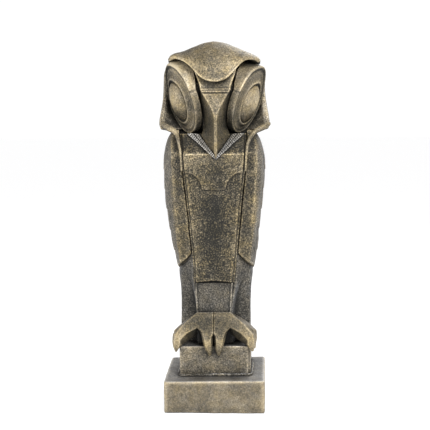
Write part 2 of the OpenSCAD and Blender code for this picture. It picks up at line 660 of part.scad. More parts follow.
// ---------- eyes ----------
module on_eye(side) {
    on_perch() both_sides(side) multmatrix([
        [eye_right[0], eye_up[0], eye_normal[0], eye_centre[0]],
        [eye_right[1], eye_up[1], eye_normal[1], eye_centre[1]],
        [eye_right[2], eye_up[2], eye_normal[2], eye_centre[2]],
        [0, 0, 0, 1]
    ]) rotate(-eye_lean) children();
}
function eye_edge(a) =
    [eye_a * cos(a), eye_b * sin(a)] * (1 + eye_point * exp(-((a - eye_point_at) / eye_point_spread) ^ 2));
function oval(share) = [for (i = [0 : 47]) mix(eye_axis, eye_edge(i * 7.5), share)];
module eye_disc(side) {
    top = eye_b + 6;
    color("burlywood") on_eye(side) {
        intersection() {
            loft([for (k = eye_profile) [for (p = oval(k[0])) [p[0], p[1], k[1]]]]);
            rotate(eye_lean) rotate([90, 0, -90]) translate([0, 0, -30]) linear_extrude(60)
                polygon([
                    [-top, 1], [top, 1], [top, -eye_t], [-eye_break, -eye_t],
                    [-top, -eye_t - eye_taper * (top - eye_break)]
                ]);
        }
        translate([0, 0, -eye_t - eye_gap + glue]) cylinder(h = eye_gap, d = 16, $fn = 48);
    }
}
module left_eye_disc() { eye_disc(-1); }
module right_eye_disc() { eye_disc(1); }

module eyeball(side) {
    color("wheat") on_eye(side) loft([
        for (k = [[-3.3, 0.98], [-1.5, 0.98], [-0.6, 0.94], [0.7, 0.83], [1.7, 0.66], [2.3, 0.44], [2.7, 0.2]])
            [for (p = oval(eyeball_share)) let (q = mix(eyeball_middle, p, k[1])) [q[0], q[1], k[0]]]
    ]);
}
module left_eyeball() { eyeball(-1); }
module right_eyeball() { eyeball(1); }

plinth();
felt_pad();
perch_block();
bedding_joint();
tie_rod();
washer();
nut();
torso_core();
breast_shield();
bib();
lower_panel();
left_wing();
right_wing();
tail();
left_foot();
right_foot();
head_core();
neck_dowel();
face_mask();
crown_cap();
hood();
left_collar();
right_collar();
left_throat_band();
right_throat_band();
left_eye_disc();
right_eye_disc();
left_eyeball();
right_eyeball();
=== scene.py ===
"""Owl figurine: the visual model of a patinated bronze casting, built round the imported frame.

Every casting is a fine copy of its CAD node: facets smoothed, edges eased, surface pitted, and then the
small unevenness of a hand-made figure put in. Sizes in this script are millimetres until they reach Blender.
"""

import math

import bmesh
import bpy
import numpy as np
from mathutils import Matrix, Vector


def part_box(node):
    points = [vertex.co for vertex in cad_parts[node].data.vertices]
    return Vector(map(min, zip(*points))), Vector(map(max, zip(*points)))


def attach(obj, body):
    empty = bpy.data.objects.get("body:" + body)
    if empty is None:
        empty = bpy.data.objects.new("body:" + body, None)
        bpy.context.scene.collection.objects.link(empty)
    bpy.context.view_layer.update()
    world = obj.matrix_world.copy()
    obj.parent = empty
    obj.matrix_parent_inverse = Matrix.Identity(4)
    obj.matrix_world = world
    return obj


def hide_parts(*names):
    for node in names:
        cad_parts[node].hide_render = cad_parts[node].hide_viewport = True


MM = 0.001
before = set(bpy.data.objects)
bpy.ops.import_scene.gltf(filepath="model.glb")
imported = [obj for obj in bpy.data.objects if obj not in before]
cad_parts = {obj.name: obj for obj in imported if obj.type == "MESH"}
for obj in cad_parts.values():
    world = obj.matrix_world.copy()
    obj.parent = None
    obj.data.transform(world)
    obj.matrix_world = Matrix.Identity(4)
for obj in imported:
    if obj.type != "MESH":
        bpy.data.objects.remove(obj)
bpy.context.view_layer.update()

PERCH_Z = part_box("perch_block")[1][2] / MM  # top of the block that the owl stands on
PLINTH_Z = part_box("plinth")[1][2] / MM


# ---------- numbers ----------
def smoothstep(x, low, high):
    t = np.clip((x - low) / (high - low), 0, 1)
    return t * t * (3 - 2 * t)


def bell(x, middle, half):
    """1 at the middle and falling to a third at half away from it."""
    return np.exp(-(((x - middle) / half) ** 2))


def grown(x, growth):
    """An amount that sets in as x grows. Growth is (amount, where it starts, where it is full)."""
    amount, start, full = growth
    return amount * smoothstep(x, start, full)


def read_off(x, table):
    """The value at x in a table of (x, value) rows, with straight lines between them."""
    return np.interp(x, *np.array(table).T)


def hashed(cell, seed):
    """A number from 0 to 1 for each whole-number cell."""
    n = cell[:, 0] * 73856093 ^ cell[:, 1] * 19349663 ^ cell[:, 2] * 83492791 ^ (seed * 49979687)
    n = (n ^ (n >> 13)) * 1274126177
    return ((n ^ (n >> 16)) & 0xFFFF) / 65535.0


def noise(points, size, seed=0):
    """Smooth noise from -1 to 1 at each point, with bumps about one size apart."""
    q = points / size
    cell = np.floor(q).astype(np.int64)
    f = q - cell
    f = f * f * (3 - 2 * f)
    total = np.zeros(len(points))
    for corner in range(8):
        step = np.array([corner & 1, corner >> 1 & 1, corner >> 2 & 1])
        weight = np.prod(np.where(step, f, 1 - f), axis=1)
        total += weight * hashed(cell + step, seed)
    return total * 2 - 1


# ---------- meshes ----------
def get_points(mesh):
    points = np.empty(len(mesh.vertices) * 3, np.float32)
    mesh.vertices.foreach_get("co", points)
    return points.reshape(-1, 3).astype(np.float64) / MM


def set_points(mesh, points):
    mesh.vertices.foreach_set("co", (points * MM).astype(np.float32).ravel())
    mesh.update()


def get_normals(mesh):
    normals = np.empty(len(mesh.vertices) * 3, np.float32)
    mesh.vertex_normals.foreach_get("vector", normals)
    return normals.reshape(-1, 3).astype(np.float64)


def get_edges(mesh):
    edges = np.empty(len(mesh.edges) * 2, np.int32)
    mesh.edges.foreach_get("vertices", edges)
    return edges.reshape(-1, 2)


def relaxed(points, edges, rounds, amount=0.5):
    """The points after each has moved towards the mean of its neighbours, a number of times."""
    a, b = edges[:, 0], edges[:, 1]
    n = len(points)
    count = np.maximum(np.bincount(a, minlength=n) + np.bincount(b, minlength=n), 1)
    points = points.copy()
    for _ in range(rounds):
        for axis in range(points.shape[1]):
            column = points[:, axis]
            total = np.bincount(a, column[b], n) + np.bincount(b, column[a], n)
            points[:, axis] += amount * (total / count - column)
    return points


def add_attribute(mesh, name, values):
    attribute = mesh.attributes.new(name, "FLOAT", "POINT")
    attribute.data.foreach_set("value", np.asarray(values, np.float32))


def new_object(name, mesh):
    obj = bpy.data.objects.new(name, mesh)
    bpy.context.scene.collection.objects.link(obj)
    return obj


def evaluated_mesh(obj):
    graph = bpy.context.evaluated_depsgraph_get()
    return bpy.data.meshes.new_from_object(obj.evaluated_get(graph))


def fine_mesh(node, voxel, levels, crease):
    """The CAD node as an even mesh, after its facets are subdivided into smooth faces between its creases."""
    bm = bmesh.new()
    bm.from_mesh(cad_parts[node].data)
    bmesh.ops.remove_doubles(bm, verts=bm.verts, dist=0.003 * MM)
    if levels:
        bmesh.ops.join_triangles(
            bm,
            faces=bm.faces,
            angle_face_threshold=math.radians(crease),
            angle_shape_threshold=math.radians(100),
        )
        sharp = bm.edges.layers.float.new("crease_edge")
        for edge in bm.edges:
            if len(edge.link_faces) != 2 or edge.calc_face_angle(math.pi) > math.radians(crease):
                edge[sharp] = 1
    mesh = bpy.data.meshes.new(node + "_copy")
    bm.to_mesh(mesh)
    bm.free()
    obj = new_object(node + "_copy", mesh)
    if levels:
        smooth = obj.modifiers.new("Smooth", "SUBSURF")
        smooth.levels = levels
        smooth.use_limit_surface = False
    even = obj.modifiers.new("Even", "REMESH")
    even.mode = "VOXEL"
    even.voxel_size = voxel * MM * 1
    fine = evaluated_mesh(obj)
    bpy.data.objects.remove(obj)
    return fine


# ---------- the hand-made surface ----------
# A sideways move is + to the right as seen from the front. A level is a height above the block's top.
HEAD = ("head_core", "hood", "crown_cap", "face_mask", "eye_disc", "eyeball")
HEAD_TURN = math.radians(2.6)
HEAD_SHIFT = 0.7
NAPE_SHIFT = -0.9  # of the hood and the head block, on top of the head's
HEAD_BLOCK_SPREAD = (1.0, 28, 38)  # the head block reaches into the hood
MASK_RISE = (3.5, 238, 242)  # the mask reaches up under the crown
CROWN_SHIFT = -0.8
CROWN_RISE = (0.3, 252, 266)
LEFT_LOBE_IN = (1.5, 30, 43)
LEFT_LOBE_RISE = (1.5, 26, 38)
RIGHT_LOBE_IN = (-1.4, 18, 42)

# How far the middle of everything below the head strays sideways: [level, shift]
SWAY = [(0, 0), (30, 0.1), (60, 0.3), (73, 0.6), (87, 0.1), (102, -0.7), (120, -1), (190, -1)]
# How far the faces in front stray besides: [level, shift]
FRONT_SWAY = [
    (-8, -0.5), (0, -0.9), (50, -1.1), (62, -0.6), (85, 0), (110, 1.3), (174, 1.4), (186, 0.4), (192, 0),
]
FRONT_FROM, FRONT_TO = 12, 22  # a face begins to count as in front, and fully does, this far forward
COLLAR_LEVELS = (176, 194)  # between these a collar goes over from the body's sway to the head's turn
PLINTH_SLOPE = 0.014  # the plinth's top climbs to the right
LEFT_FOOT_OUT = (-0.3, 18, 34)
RIGHT_FOOT_OUT = (0.7, 18, 34)
LEFT_WING_IN = (1.1, 30, 42)
LEFT_WING_LEVEL, LEFT_WING_HALF = 158, 20  # where the left wing is flatter
WAIST_SPREAD = 0.03
WAIST_LEVEL, WAIST_HALF = 63, 9  # where the torso is wider
# Brings the block's two corners on the left out: [distance left of the middle, how far out]
BLOCK_CORNER = [(22, 0), (28.6, 2.2), (31.6, 0)]

CHEST = [(56, -24), (110, -29), (171, -35.5), (187, -21.6)]  # the shield's face: [level, depth]
BAND_RUN = (24.3, 25.8)  # how far a throat band runs across and up
BAND_ACROSS, BAND_UP = 0.686, 0.728  # its direction
BAND_REACH = 24  # distance from the middle to a band's top
BAND_RISE = 3.2  # how much higher than in the CAD the point of the bands' V is
BAND_NARROWING = 0.3


def turned_with_head(x, y):
    """Where the head's turn and shift take a point."""
    across = x * math.cos(HEAD_TURN) - y * math.sin(HEAD_TURN) + HEAD_SHIFT
    return across, x * math.sin(HEAD_TURN) + y * math.cos(HEAD_TURN)


def front_strayed(y, level):
    """The sideways shift of the faces in front."""
    return read_off(level, FRONT_SWAY) * smoothstep(-y, FRONT_FROM, FRONT_TO)


def head_moved(x, y, z, kind):
    """The head is turned, and its crown has unlike lobes."""
    level = z - PERCH_Z
    across, deep = turned_with_head(x, y)
    if kind == "crown_cap":
        across = across + CROWN_SHIFT + grown(x, RIGHT_LOBE_IN) + grown(-x, LEFT_LOBE_IN)
        z = z + grown(level, CROWN_RISE) + grown(-x, LEFT_LOBE_RISE)
    elif kind == "face_mask":
        z = z + grown(level, MASK_RISE)
    elif kind == "hood":
        across = across + NAPE_SHIFT
    elif kind == "head_core":
        across = across + NAPE_SHIFT + np.sign(x) * grown(np.abs(x), HEAD_BLOCK_SPREAD)
    return across, deep, z


def band_moved(x, y, z):
    """A band is narrower and less steep near the point of the V, and stays on the chest."""
    level = z - PERCH_Z
    from_middle = np.abs(x)
    offset = from_middle * BAND_UP - level * BAND_ACROSS
    inward = 1 - smoothstep(from_middle, 14, BAND_REACH)
    narrow = (offset - np.median(offset)) * BAND_NARROWING * inward
    rise = BAND_RISE * np.clip(1 - from_middle / BAND_REACH, 0, 1) + BAND_ACROSS * narrow
    forward = read_off(level + rise, CHEST) - read_off(level, CHEST)
    across, _ = turned_with_head(x, y)
    return across - np.sign(x) * BAND_UP * narrow, y + forward, z + rise


def collar_moved(x, y, z):
    """A collar goes with the body at its foot and with the head at its top."""
    level = z - PERCH_Z
    swayed = x + read_off(level, SWAY) + front_strayed(y, level)
    turned, _ = turned_with_head(x, y)
    return swayed + (turned - swayed) * smoothstep(level, *COLLAR_LEVELS), y, z


def body_moved(x, y, z, kind):
    """The body sways, and the plinth's top slopes."""
    level = z - PERCH_Z
    shift = front_strayed(y, level)
    if kind == "foot":
        shift = shift + grown(-x, LEFT_FOOT_OUT) + grown(x, RIGHT_FOOT_OUT)
    elif kind == "wing":
        shift = shift + grown(-x, LEFT_WING_IN) * bell(level, LEFT_WING_LEVEL, LEFT_WING_HALF)
    elif kind == "torso_core":
        shift = shift + WAIST_SPREAD * x * bell(level, WAIST_LEVEL, WAIST_HALF)
    elif kind == "perch_block":
        shift = -read_off(-x, BLOCK_CORNER)
    elif kind in ("plinth", "bedding_joint"):
        shift = 0
    slope = PLINTH_SLOPE * x * smoothstep(z, 2, PLINTH_Z)
    slope = slope * (1 - smoothstep(z, PLINTH_Z + 2, PERCH_Z + 40))
    return x + read_off(level, SWAY) + shift, y, z + slope


def uneven(points, kind):
    """Moves points by a few tenths to a few millimetres, as a hand-made figure strays from a plan."""
    x, y, z = points.T
    if kind in HEAD:
        moved = head_moved(x, y, z, kind)
    elif kind == "throat_band":
        moved = band_moved(x, y, z)
    elif kind == "collar":
        moved = collar_moved(x, y, z)
    else:
        moved = body_moved(x, y, z, kind)
    return np.stack(moved, 1)


def pitting(points):
    """Height of the cast surface: slow waves, lumps and grain."""
    waves = 0.16 * noise(points, 14, 1) + 0.09 * noise(points, 5.5, 2)
    grain = 0.05 * noise(points, 2.1, 3) + 0.06 * noise(points, 1.15, 4)
    return waves + grain


def mirrored(centre, sizes, strength):
    """The same cloud on the left and on the right."""
    x, y, z = centre
    return [[(-x, y, z), sizes, strength], [(x, y, z), sizes, strength]]


# Where the patina is rubbed light or left dark, and in places where light and shade are painted in: [centre,
# half-sizes, strength], heights on the block's top
SHIELD_CLOUDS = [
    [(1, -32, 121), (10, 12, 14), -0.26],
    [(0, -28, 97), (8, 12, 14), -0.2],
    [(1, -26, 76), (9, 12, 12), -0.12],
    [(3, -38, 152), (8, 12, 13), -0.16],
    [(0, -34, 136), (12, 8, 4), 0.16],
    [(-19, -28, 100), (5, 10, 34), 0.1],
    [(18, -28, 96), (5, 10, 34), 0.1],
    [(-18, -36, 167), (11, 10, 7), 0.22],
    [(16, -36, 167), (11, 10, 7), 0.12],
]
WING_CLOUDS = [
    [(-29, -25, 150), (4, 10, 30), -0.12],
    [(30, -25, 152), (4, 10, 30), -0.1],
    [(-36, -25, 130), (3, 8, 60), 0.1],
    [(36, -25, 130), (3, 8, 60), 0.14],
    [(-22, -20, 105), (4, 10, 30), -0.08],
    [(25, -20, 105), (4, 10, 30), -0.08],
    [(28, -16, 40), (5, 10, 36), 0.1],
    # painted light: lifts the shadow below the wing tips
    *mirrored((24, -15, 75), (5, 8, 7), 0.25),
    # painted shade on the tops of the wings, under the head
    *mirrored((30, -22, 184), (16, 10, 8), -0.2),
]
HEAD_CLOUDS = [
    [(0, -38, 214), (6, 8, 8), 0.12],
    *mirrored((9, -34, 195), (8, 12, 16), -0.25),
    # painted light: lifts the shade at the bottoms of the discs
    [(-31, -18, 192), (9, 9, 9), 0.25],
    [(-27, -21, 192), (12, 10, 10), 0.26],
    [(26, -21, 191), (12, 10, 10), 0.2],
    # painted highlights on the eye domes
    [(-34, -12, 219), (8, 8, 14), 0.24],
    [(34, -12, 216), (8, 8, 14), 0.3],
    [(-19, -26, 236), (9, 9, 14), 0.32],
    [(19, -26, 236), (9, 9, 14), 0.2],
    # painted light: lifts the shadow of the crown's left lobe on the disc's wall
    [(-32, -16, 247), (11, 10, 6), 0.5],
    # painted light on the sides of the head, lifting their shade
    [(-43, -4, 210), (6, 10, 14), 0.02],
    [(43, -4, 210), (6, 10, 14), 0.26],
    # painted light on the front and right of the crown, where the light falls
    [(13, -20, 252), (10, 14, 9), 0.12],
    [(6, -28, 244), (16, 18, 12), 0.08],
    # darker on the crown's upper left: partly patina, partly painted shade
    [(-28, -8, 258), (12, 22, 8), -0.2],
]
FOOT_CLOUDS = [
    [(0, -28, 22), (16, 8, 7), -0.2],
    [(0, -30, 0), (10, 8, 9), 0.1],
    [(0, -33, -24), (22, 6, 8), -0.14],
    *mirrored((6, -31, 4), (3, 5, 3), 0.25),
    # painted shade in the arches under the feet
    *mirrored((13, -17, 7), (9, 4, 7), -0.4),
    [(-30, -28, 6), (10, 12, 12), 0.22],
    [(30, -28, 6), (10, 12, 12), 0.24],
]
PATINA_AND_LIGHT_CLOUDS = SHIELD_CLOUDS + WING_CLOUDS + HEAD_CLOUDS + FOOT_CLOUDS
# How dark, how grey and how speckled each casting is
TONES = {
    "plinth": (0.09, 0.16, 0.35),
    "perch_block": (0.03, 0.25, 0.7),
    "bedding_joint": (0.04, 0.4, 0.8),
    "torso_core": (-0.19, 0.45, 0.9),
    "breast_shield": (-0.21, 0.0, 1.35),
    "bib": (-0.1, 0.0, 1.15),
    "lower_panel": (-0.1, 0.4, 0.9),
    "wing": (-0.12, 0.0, 1.05),
    "tail": (-0.1, 0.3, 0.8),
    "foot": (-0.02, 0.0, 0.6),
    "head_core": (-0.06, 0.3, 0.8),
    "face_mask": (0.03, 0.0, 0.7),
    "crown_cap": (0.02, 0.0, 0.8),
    "hood": (-0.06, 0.2, 0.9),
    "throat_band": (0.2, 0.7, 0.6),
    "collar": (0.02, 0.05, 0.7),
    "eye_disc": (0.04, 0.1, 0.6),
    "eyeball": (0.06, 0.0, 0.6),
}


RUB_HEIGHT = 0.15  # a point that stands this far out of its near surroundings is fully rubbed
SINK_DEPTH = 0.5  # and one this far below its broader surroundings is fully dark
NEAR_ROUNDS = 5
BROAD_ROUNDS = 20
# painted shade: how much darker the faces that look downwards are made
UNDERSIDE_PAINTED_SHADE = -0.25
TOP_DUST_AND_SHEEN = 0.5  # dust and a painted reflection of the white surroundings on the level tops of the block and the plinth, which grey them
TOP_BELOW = PERCH_Z + 35
FLANK_SHEEN_GREY = 0.4  # painted reflection: the sides that face left and right are greyer and a little lighter, as if they mirrored the white surroundings
FLANK_SHEEN_LIGHT = 0.07


def patina_and_light_clouds(points):
    total = np.zeros(len(points))
    for centre, sizes, strength in PATINA_AND_LIGHT_CLOUDS:
        offset = (points - np.array([0, 0, PERCH_Z]) - np.array(centre)) / np.array(sizes)
        total += strength * np.exp(-np.sum(offset**2, axis=1))
    return total


def finished(node, mesh, detail=None, grain=1.0, rounds=3):
    """Makes a piece from a fine mesh: eases its edges, adds detail and pitting, and stores where it wears,
    its patina and its painted light and shade.
    """
    kind = node.replace("left_", "").replace("right_", "")
    tone, grey, speckled = TONES[kind]
    edges = get_edges(mesh)
    points = relaxed(get_points(mesh), edges, rounds)
    set_points(mesh, points)
    normals = get_normals(mesh)
    height = grain * pitting(points)
    if detail:
        height = height + detail(points, normals)
    points = points + normals * height[:, None]
    near = relaxed(points, edges, NEAR_ROUNDS)
    broad = relaxed(near, edges, BROAD_ROUNDS)
    rub = np.clip(np.sum((points - near) * normals, axis=1) / RUB_HEIGHT, -0.6, 1)
    sink = np.clip(np.sum((points - broad) * normals, axis=1) / SINK_DEPTH, -1, 0.5)
    # painted shade on the faces that look downwards
    underside_shade = smoothstep(-normals[:, 2], 0.2, 0.6)
    # dust and painted reflection greying the level tops
    top_dust_and_sheen = smoothstep(normals[:, 2], 0.6, 0.95) * (points[:, 2] < TOP_BELOW)
    # painted reflection on the sideways faces of the wings, hood and torso
    flank_sheen = smoothstep(np.abs(normals[:, 0]), 0.75, 0.97) * (kind in ("wing", "hood", "torso_core"))
    # patina clouds and tones, with painted shade on the undersides and painted reflection on the flanks
    patina_and_painted_light = patina_and_light_clouds(points) + tone + UNDERSIDE_PAINTED_SHADE * underside_shade + FLANK_SHEEN_LIGHT * flank_sheen
    set_points(mesh, uneven(points, kind))
    add_attribute(mesh, "wear", relaxed(rub[:, None], edges, 1)[:, 0])
    add_attribute(mesh, "sink", relaxed(sink[:, None], edges, 2)[:, 0])
    add_attribute(mesh, "patina_and_painted_light", patina_and_painted_light)
    add_attribute(mesh, "grey", np.clip(grey + TOP_DUST_AND_SHEEN * top_dust_and_sheen + FLANK_SHEEN_GREY * flank_sheen, 0, 0.8))
    add_attribute(mesh, "speckled", np.full(len(points), speckled))
    mesh.polygons.foreach_set("use_smooth", np.ones(len(mesh.polygons), bool))
    mesh.materials.clear()
    mesh.materials.append(BRONZE)
    obj = new_object(node + "_casting", mesh)
    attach(obj, "root")
    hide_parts(node)


def casting(node, voxel=0.65, levels=2, crease=24, detail=None, grain=1.0, rounds=3):
    """A casting made from its CAD node. Rounds is how far its edges are eased."""
    finished(node, fine_mesh(node, voxel, levels, crease), detail, grain, rounds)


# ---------- materials ----------
class Nodes:
    """Short ways to add and join shader nodes."""

    def __init__(self, name):
        self.material = bpy.data.materials.new(name)
        self.material.use_nodes = True
        self.tree = self.material.node_tree
        self.shader = self.tree.nodes["Principled BSDF"]

    def add(self, kind, **settings):
        node = self.tree.nodes.new("ShaderNode" + kind)
        for key, value in settings.items():
            setattr(node, key, value)
        return node

    def put(self, socket, value):
        if isinstance(value, bpy.types.NodeSocket):
            self.tree.links.new(value, socket)
        else:
            socket.default_value = value

    def math(self, operation, a, b=0.5, clamp=False):
        node = self.add("Math", operation=operation, use_clamp=clamp)
        self.put(node.inputs[0], a)
        self.put(node.inputs[1], b)
        return node.outputs[0]

    def total(self, *terms):
        """The sum of (value, factor) pairs and plain numbers."""
        result = None
        for term in terms:
            part = self.math("MULTIPLY", *term) if isinstance(term, tuple) else term
            result = part if result is None else self.math("ADD", result, part)
        return result

    def noise(self, size, detail=2.0, roughness=0.5, distortion=0.0):
        """Noise round zero, with features about size millimetres across."""
        place = self.add("TexCoord").outputs["Object"]
        node = self.add("TexNoise")
        self.put(node.inputs["Vector"], place)
        node.inputs["Scale"].default_value = 1 / (size * MM)
        node.inputs["Detail"].default_value = detail
        node.inputs["Roughness"].default_value = roughness
        node.inputs["Distortion"].default_value = distortion
        return self.math("SUBTRACT", node.outputs["Fac"], 0.5)

    def attribute(self, name):
        return self.add("Attribute", attribute_name=name).outputs["Fac"]

    def ramp(self, value, stops):
        node = self.add("ValToRGB")
        self.put(node.inputs["Fac"], value)
        elements = node.color_ramp.elements
        while len(elements) < len(stops):
            elements.new(0.5)
        for element, (place, colour) in zip(elements, stops):
            element.position = place
            element.color = (*colour, 1)
        return node.outputs["Color"]

    def bump(self, height, strength, distance, below=None):
        node = self.add("Bump")
        node.inputs["Strength"].default_value = strength
        node.inputs["Distance"].default_value = distance * MM
        self.put(node.inputs["Height"], height)
        if below is not None:
            self.put(node.inputs["Normal"], below)
        return node.outputs["Normal"]


def bronze_material():
    """Dark in the hollows and pits, partly patina and partly painted shade from ambient occlusion; brown-grey
    on the faces and rubbed gold-tan on the edges.
    """
    n = Nodes("patinated_bronze")
    # ambient occlusion darkens the hollows: partly their patina, partly painted shade where less light
    # reaches
    occlusion = n.add("AmbientOcclusion", samples=6)
    occlusion.inputs["Distance"].default_value = 7 * MM
    hollow_patina_and_shade = n.math("SUBTRACT", 1.0, occlusion.outputs["AO"])
    grain = n.noise(1.15, 2, 0.7)
    speckle = n.noise(3.8, 5, 0.85, 0.2)
    stains = n.noise(18, 4, 0.65, 0.4)
    spots = n.math("MULTIPLY", n.total((grain, 1.7), (speckle, 0.55)), n.attribute("speckled"))
    patchy = n.math("ADD", 1.0, n.math("MULTIPLY", speckle, 1.8))
    value = n.total(
        0.44,
        (n.math("MULTIPLY", n.attribute("wear"), patchy), 0.26),
        (n.attribute("sink"), 0.2),
        (n.attribute("patina_and_painted_light"), 1.0),
        (hollow_patina_and_shade, -0.55),
        spots,
        (stains, 0.55),
    )
    colour = n.ramp(
        value,
        [
            (0.0, (0.011, 0.0105, 0.008)),
            (0.25, (0.043, 0.037, 0.024)),
            (0.5, (0.134, 0.108, 0.064)),
            (0.75, (0.315, 0.25, 0.145)),
            (1.0, (0.56, 0.46, 0.28)),
        ],
    )
    dull = n.add("HueSaturation")
    n.put(dull.inputs["Color"], colour)
    tint = n.noise(9, 3, 0.6, 0.3)
    n.put(dull.inputs["Saturation"], n.total(0.96, (n.attribute("grey"), -1.0), (tint, 0.9)))
    n.put(n.shader.inputs["Base Color"], dull.outputs["Color"])
    n.put(n.shader.inputs["Roughness"], n.total(0.62, (value, -0.2), (grain, 0.2)))
    n.shader.inputs["Metallic"].default_value = 0.35
    n.shader.inputs["Specular IOR Level"].default_value = 0.4
    coarse = n.bump(n.total((grain, 1.0), (speckle, 0.5)), 0.6, 0.6)
    n.put(n.shader.inputs["Normal"], n.bump(n.noise(0.5, 2, 0.6), 0.35, 0.2, coarse))
    return n.material


def steel_material():
    n = Nodes("plain_steel")
    marks = n.noise(0.8, 4, 0.7)
    colour = n.ramp(n.total(0.5, (marks, 0.8)), [(0.2, (0.3, 0.3, 0.31)), (0.8, (0.55, 0.55, 0.56))])
    n.put(n.shader.inputs["Base Color"], colour)
    n.put(n.shader.inputs["Roughness"], n.total(0.4, (marks, 0.3)))
    n.shader.inputs["Metallic"].default_value = 1.0
    n.put(n.shader.inputs["Normal"], n.bump(marks, 0.3, 0.1))
    return n.material


def felt_material():
    n = Nodes("green_felt")
    fibre = n.noise(0.35, 5, 0.8, 1.5)
    colour = n.ramp(n.total(0.5, (fibre, 1.2)), [(0.1, (0.008, 0.02, 0.012)), (0.9, (0.03, 0.06, 0.035))])
    n.put(n.shader.inputs["Base Color"], colour)
    n.shader.inputs["Roughness"].default_value = 0.95
    n.shader.inputs["Sheen Weight"].default_value = 0.4
    n.put(n.shader.inputs["Normal"], n.bump(fibre, 0.8, 0.3))
    return n.material


BRONZE = bronze_material()
STEEL = steel_material()
FELT = felt_material()


# ---------- details of single castings ----------
HATCH_PITCH = 1.9
HATCH_DEPTH = 0.5
BIB_RISE = 0.4
BROW_GROOVE = (222.2, 0.55)  # (level, half-width)
BROW_EDGE = (225, 1.1)
FEATHER_ROWS = [66, 84, 103, 121, 139, 156]
FEATHER_W = 11
FEATHER_DROP = 6.5  # how far down a row's scalloped lower edge reaches
FEATHER_STEP = 0.62
QUILL_DEPTH = 0.2
TAIL_GROOVE = 0.5


def hatching(points, normals):
    """Short strokes across the two strips of the throat bands."""
    along = np.array(BAND_RUN) / math.hypot(*BAND_RUN)
    place = np.abs(points[:, 0]) * along[0] + points[:, 2] * along[1]
    stroke = 0.5 + 0.5 * np.cos(place * 2 * math.pi / HATCH_PITCH)
    return -HATCH_DEPTH * stroke**1.5 * smoothstep(-normals[:, 1], 0.3, 0.8)


def bib_rise(points, normals):
    """The bib stands a little prouder of the shield than its CAD plate does."""
    return np.full(len(points), BIB_RISE)


def brow_line(points, normals):
    """The sharp line between the brow and the triangle below it."""
    level = points[:, 2] - PERCH_Z
    place = smoothstep(-normals[:, 1], 0.2, 0.5) * smoothstep(-points[:, 1], 26, 29)
    return place * (0.9 * bell(level, *BROW_EDGE) - bell(level, *BROW_GROOVE))


def around(points):
    """Distance round the body from the middle of the back, for the feathers' sides."""
    return 44 * np.arctan2(np.abs(points[:, 0]), points[:, 1] + 6)


def feathers(points, normals):
    """Rows of overlapping feathers on the side and back of a wing."""
    side = around(points)
    level = points[:, 2] - PERCH_Z
    place = smoothstep(points[:, 1], -22, -6) * smoothstep(np.hypot(points[:, 0], points[:, 1]), 29, 33)
    height = np.zeros(len(points))
    for i, row in enumerate(FEATHER_ROWS):
        wave = side / FEATHER_W + 0.5 * (i % 2)
        edge = row + 5.5 - FEATHER_DROP * np.abs(np.sin(wave * math.pi)) ** 1.4
        step = smoothstep(level, edge - 0.5, edge + 0.5) * (1 - smoothstep(level, edge + 1, edge + 17))
        quill = bell((wave % 1) * FEATHER_W, FEATHER_W / 2, 0.5) * smoothstep(level, edge, edge + 4)
        height += FEATHER_STEP * step - QUILL_DEPTH * quill * (1 - smoothstep(level, edge + 9, edge + 15))
    return height * place


def tail_feathers(points, normals):
    """Long grooves between the tail's feathers."""
    half = 15.5 - grown(points[:, 2] - PERCH_Z, (14, 20, 150))
    place = np.abs(points[:, 0]) / np.maximum(half, 1)
    return -TAIL_GROOVE * bell((place * 2.5) % 1, 0.5, 0.12) * smoothstep(normals[:, 1], 0.2, 0.6)


# ---------- eyes ----------
EYE_CENTRE = {-1: (30.2, -15.0, PERCH_Z + 215.9), 1: (29.2, -14.5, PERCH_Z + 215.4)}
EYE_YAW = math.radians(57)
EYE_PITCH = math.radians(13)
EYE_LEAN = {-1: math.radians(12.5), 1: math.radians(24)}  # the two discs don't lean alike
EYE_HALF = (20.3, 30.0)
EYE_RINGS_AT = {-1: (14.0, -1.5), 1: (11.5, -4.0)}  # where the rings close up
EYE_THICK = 6.6
EYE_BREAK = 8.5  # above this height a disc grows thicker towards its top
EYE_TAPER = 0.456
EYE_MEAN = 24  # a disc's mean half-size
EYE_POINT = 0.13  # how far the outline is drawn out at its top
EYE_POINT_AT = 77.5  # degrees
EYE_POINT_HALF = 25
WALL_RISE = {-1: 6.0, 1: 2.5}  # how far the top of a disc's wall climbs towards its back
RIM_BREAK = 7.5  # height of the notch across the rim
NOTCH_HALF = 0.7
NOTCH_DEPTH = 0.7
NOTCH_INSET = 0.5
RIM_STEP = 0.5  # above the notch the rim is this much higher
BACK_INSET = 0.6  # rounds the wall's back edge
# Across a disc, from the rim inwards: [share of the outline, height above the disc's face]
EYE_PROFILE = [
    (1.0, -0.6), (0.993, -0.1), (0.978, 0.3), (0.96, 0.0), (0.935, -0.9), (0.9, -1.5), (0.87, -1.5),
    (0.845, -1.0), (0.825, -1.35), (0.76, -1.4), (0.69, -0.9), (0.64, 0.0), (0.623, 0.35), (0.605, 0.0),
    (0.59, -0.9), (0.575, -1.7), (0.55, -1.9), (0.4, -2.4), (0.0, -2.6),
]
BALL_SHARE = 0.55  # a ball's outline as a share of the disc's
BALL_BACK = -3.1  # height of a ball's flat back
BALL_MIDDLE = {-1: (6.5, 1.0), 1: (6.0, -1.0)}
BALL_PROFILE = [
    (1.0, -2.4), (0.99, -1.3), (0.95, -0.6), (0.86, 0.6), (0.72, 2.0), (0.5, 3.5), (0.25, 4.5), (0.0, 4.8),
]


def eye_outline(turns):
    """The disc's oval, drawn out to a soft point at its top."""
    degrees = np.degrees(turns) % 360
    reach = 1 + EYE_POINT * bell(degrees, EYE_POINT_AT, EYE_POINT_HALF)
    return np.stack([EYE_HALF[0] * np.cos(turns) * reach, EYE_HALF[1] * np.sin(turns) * reach], 1)


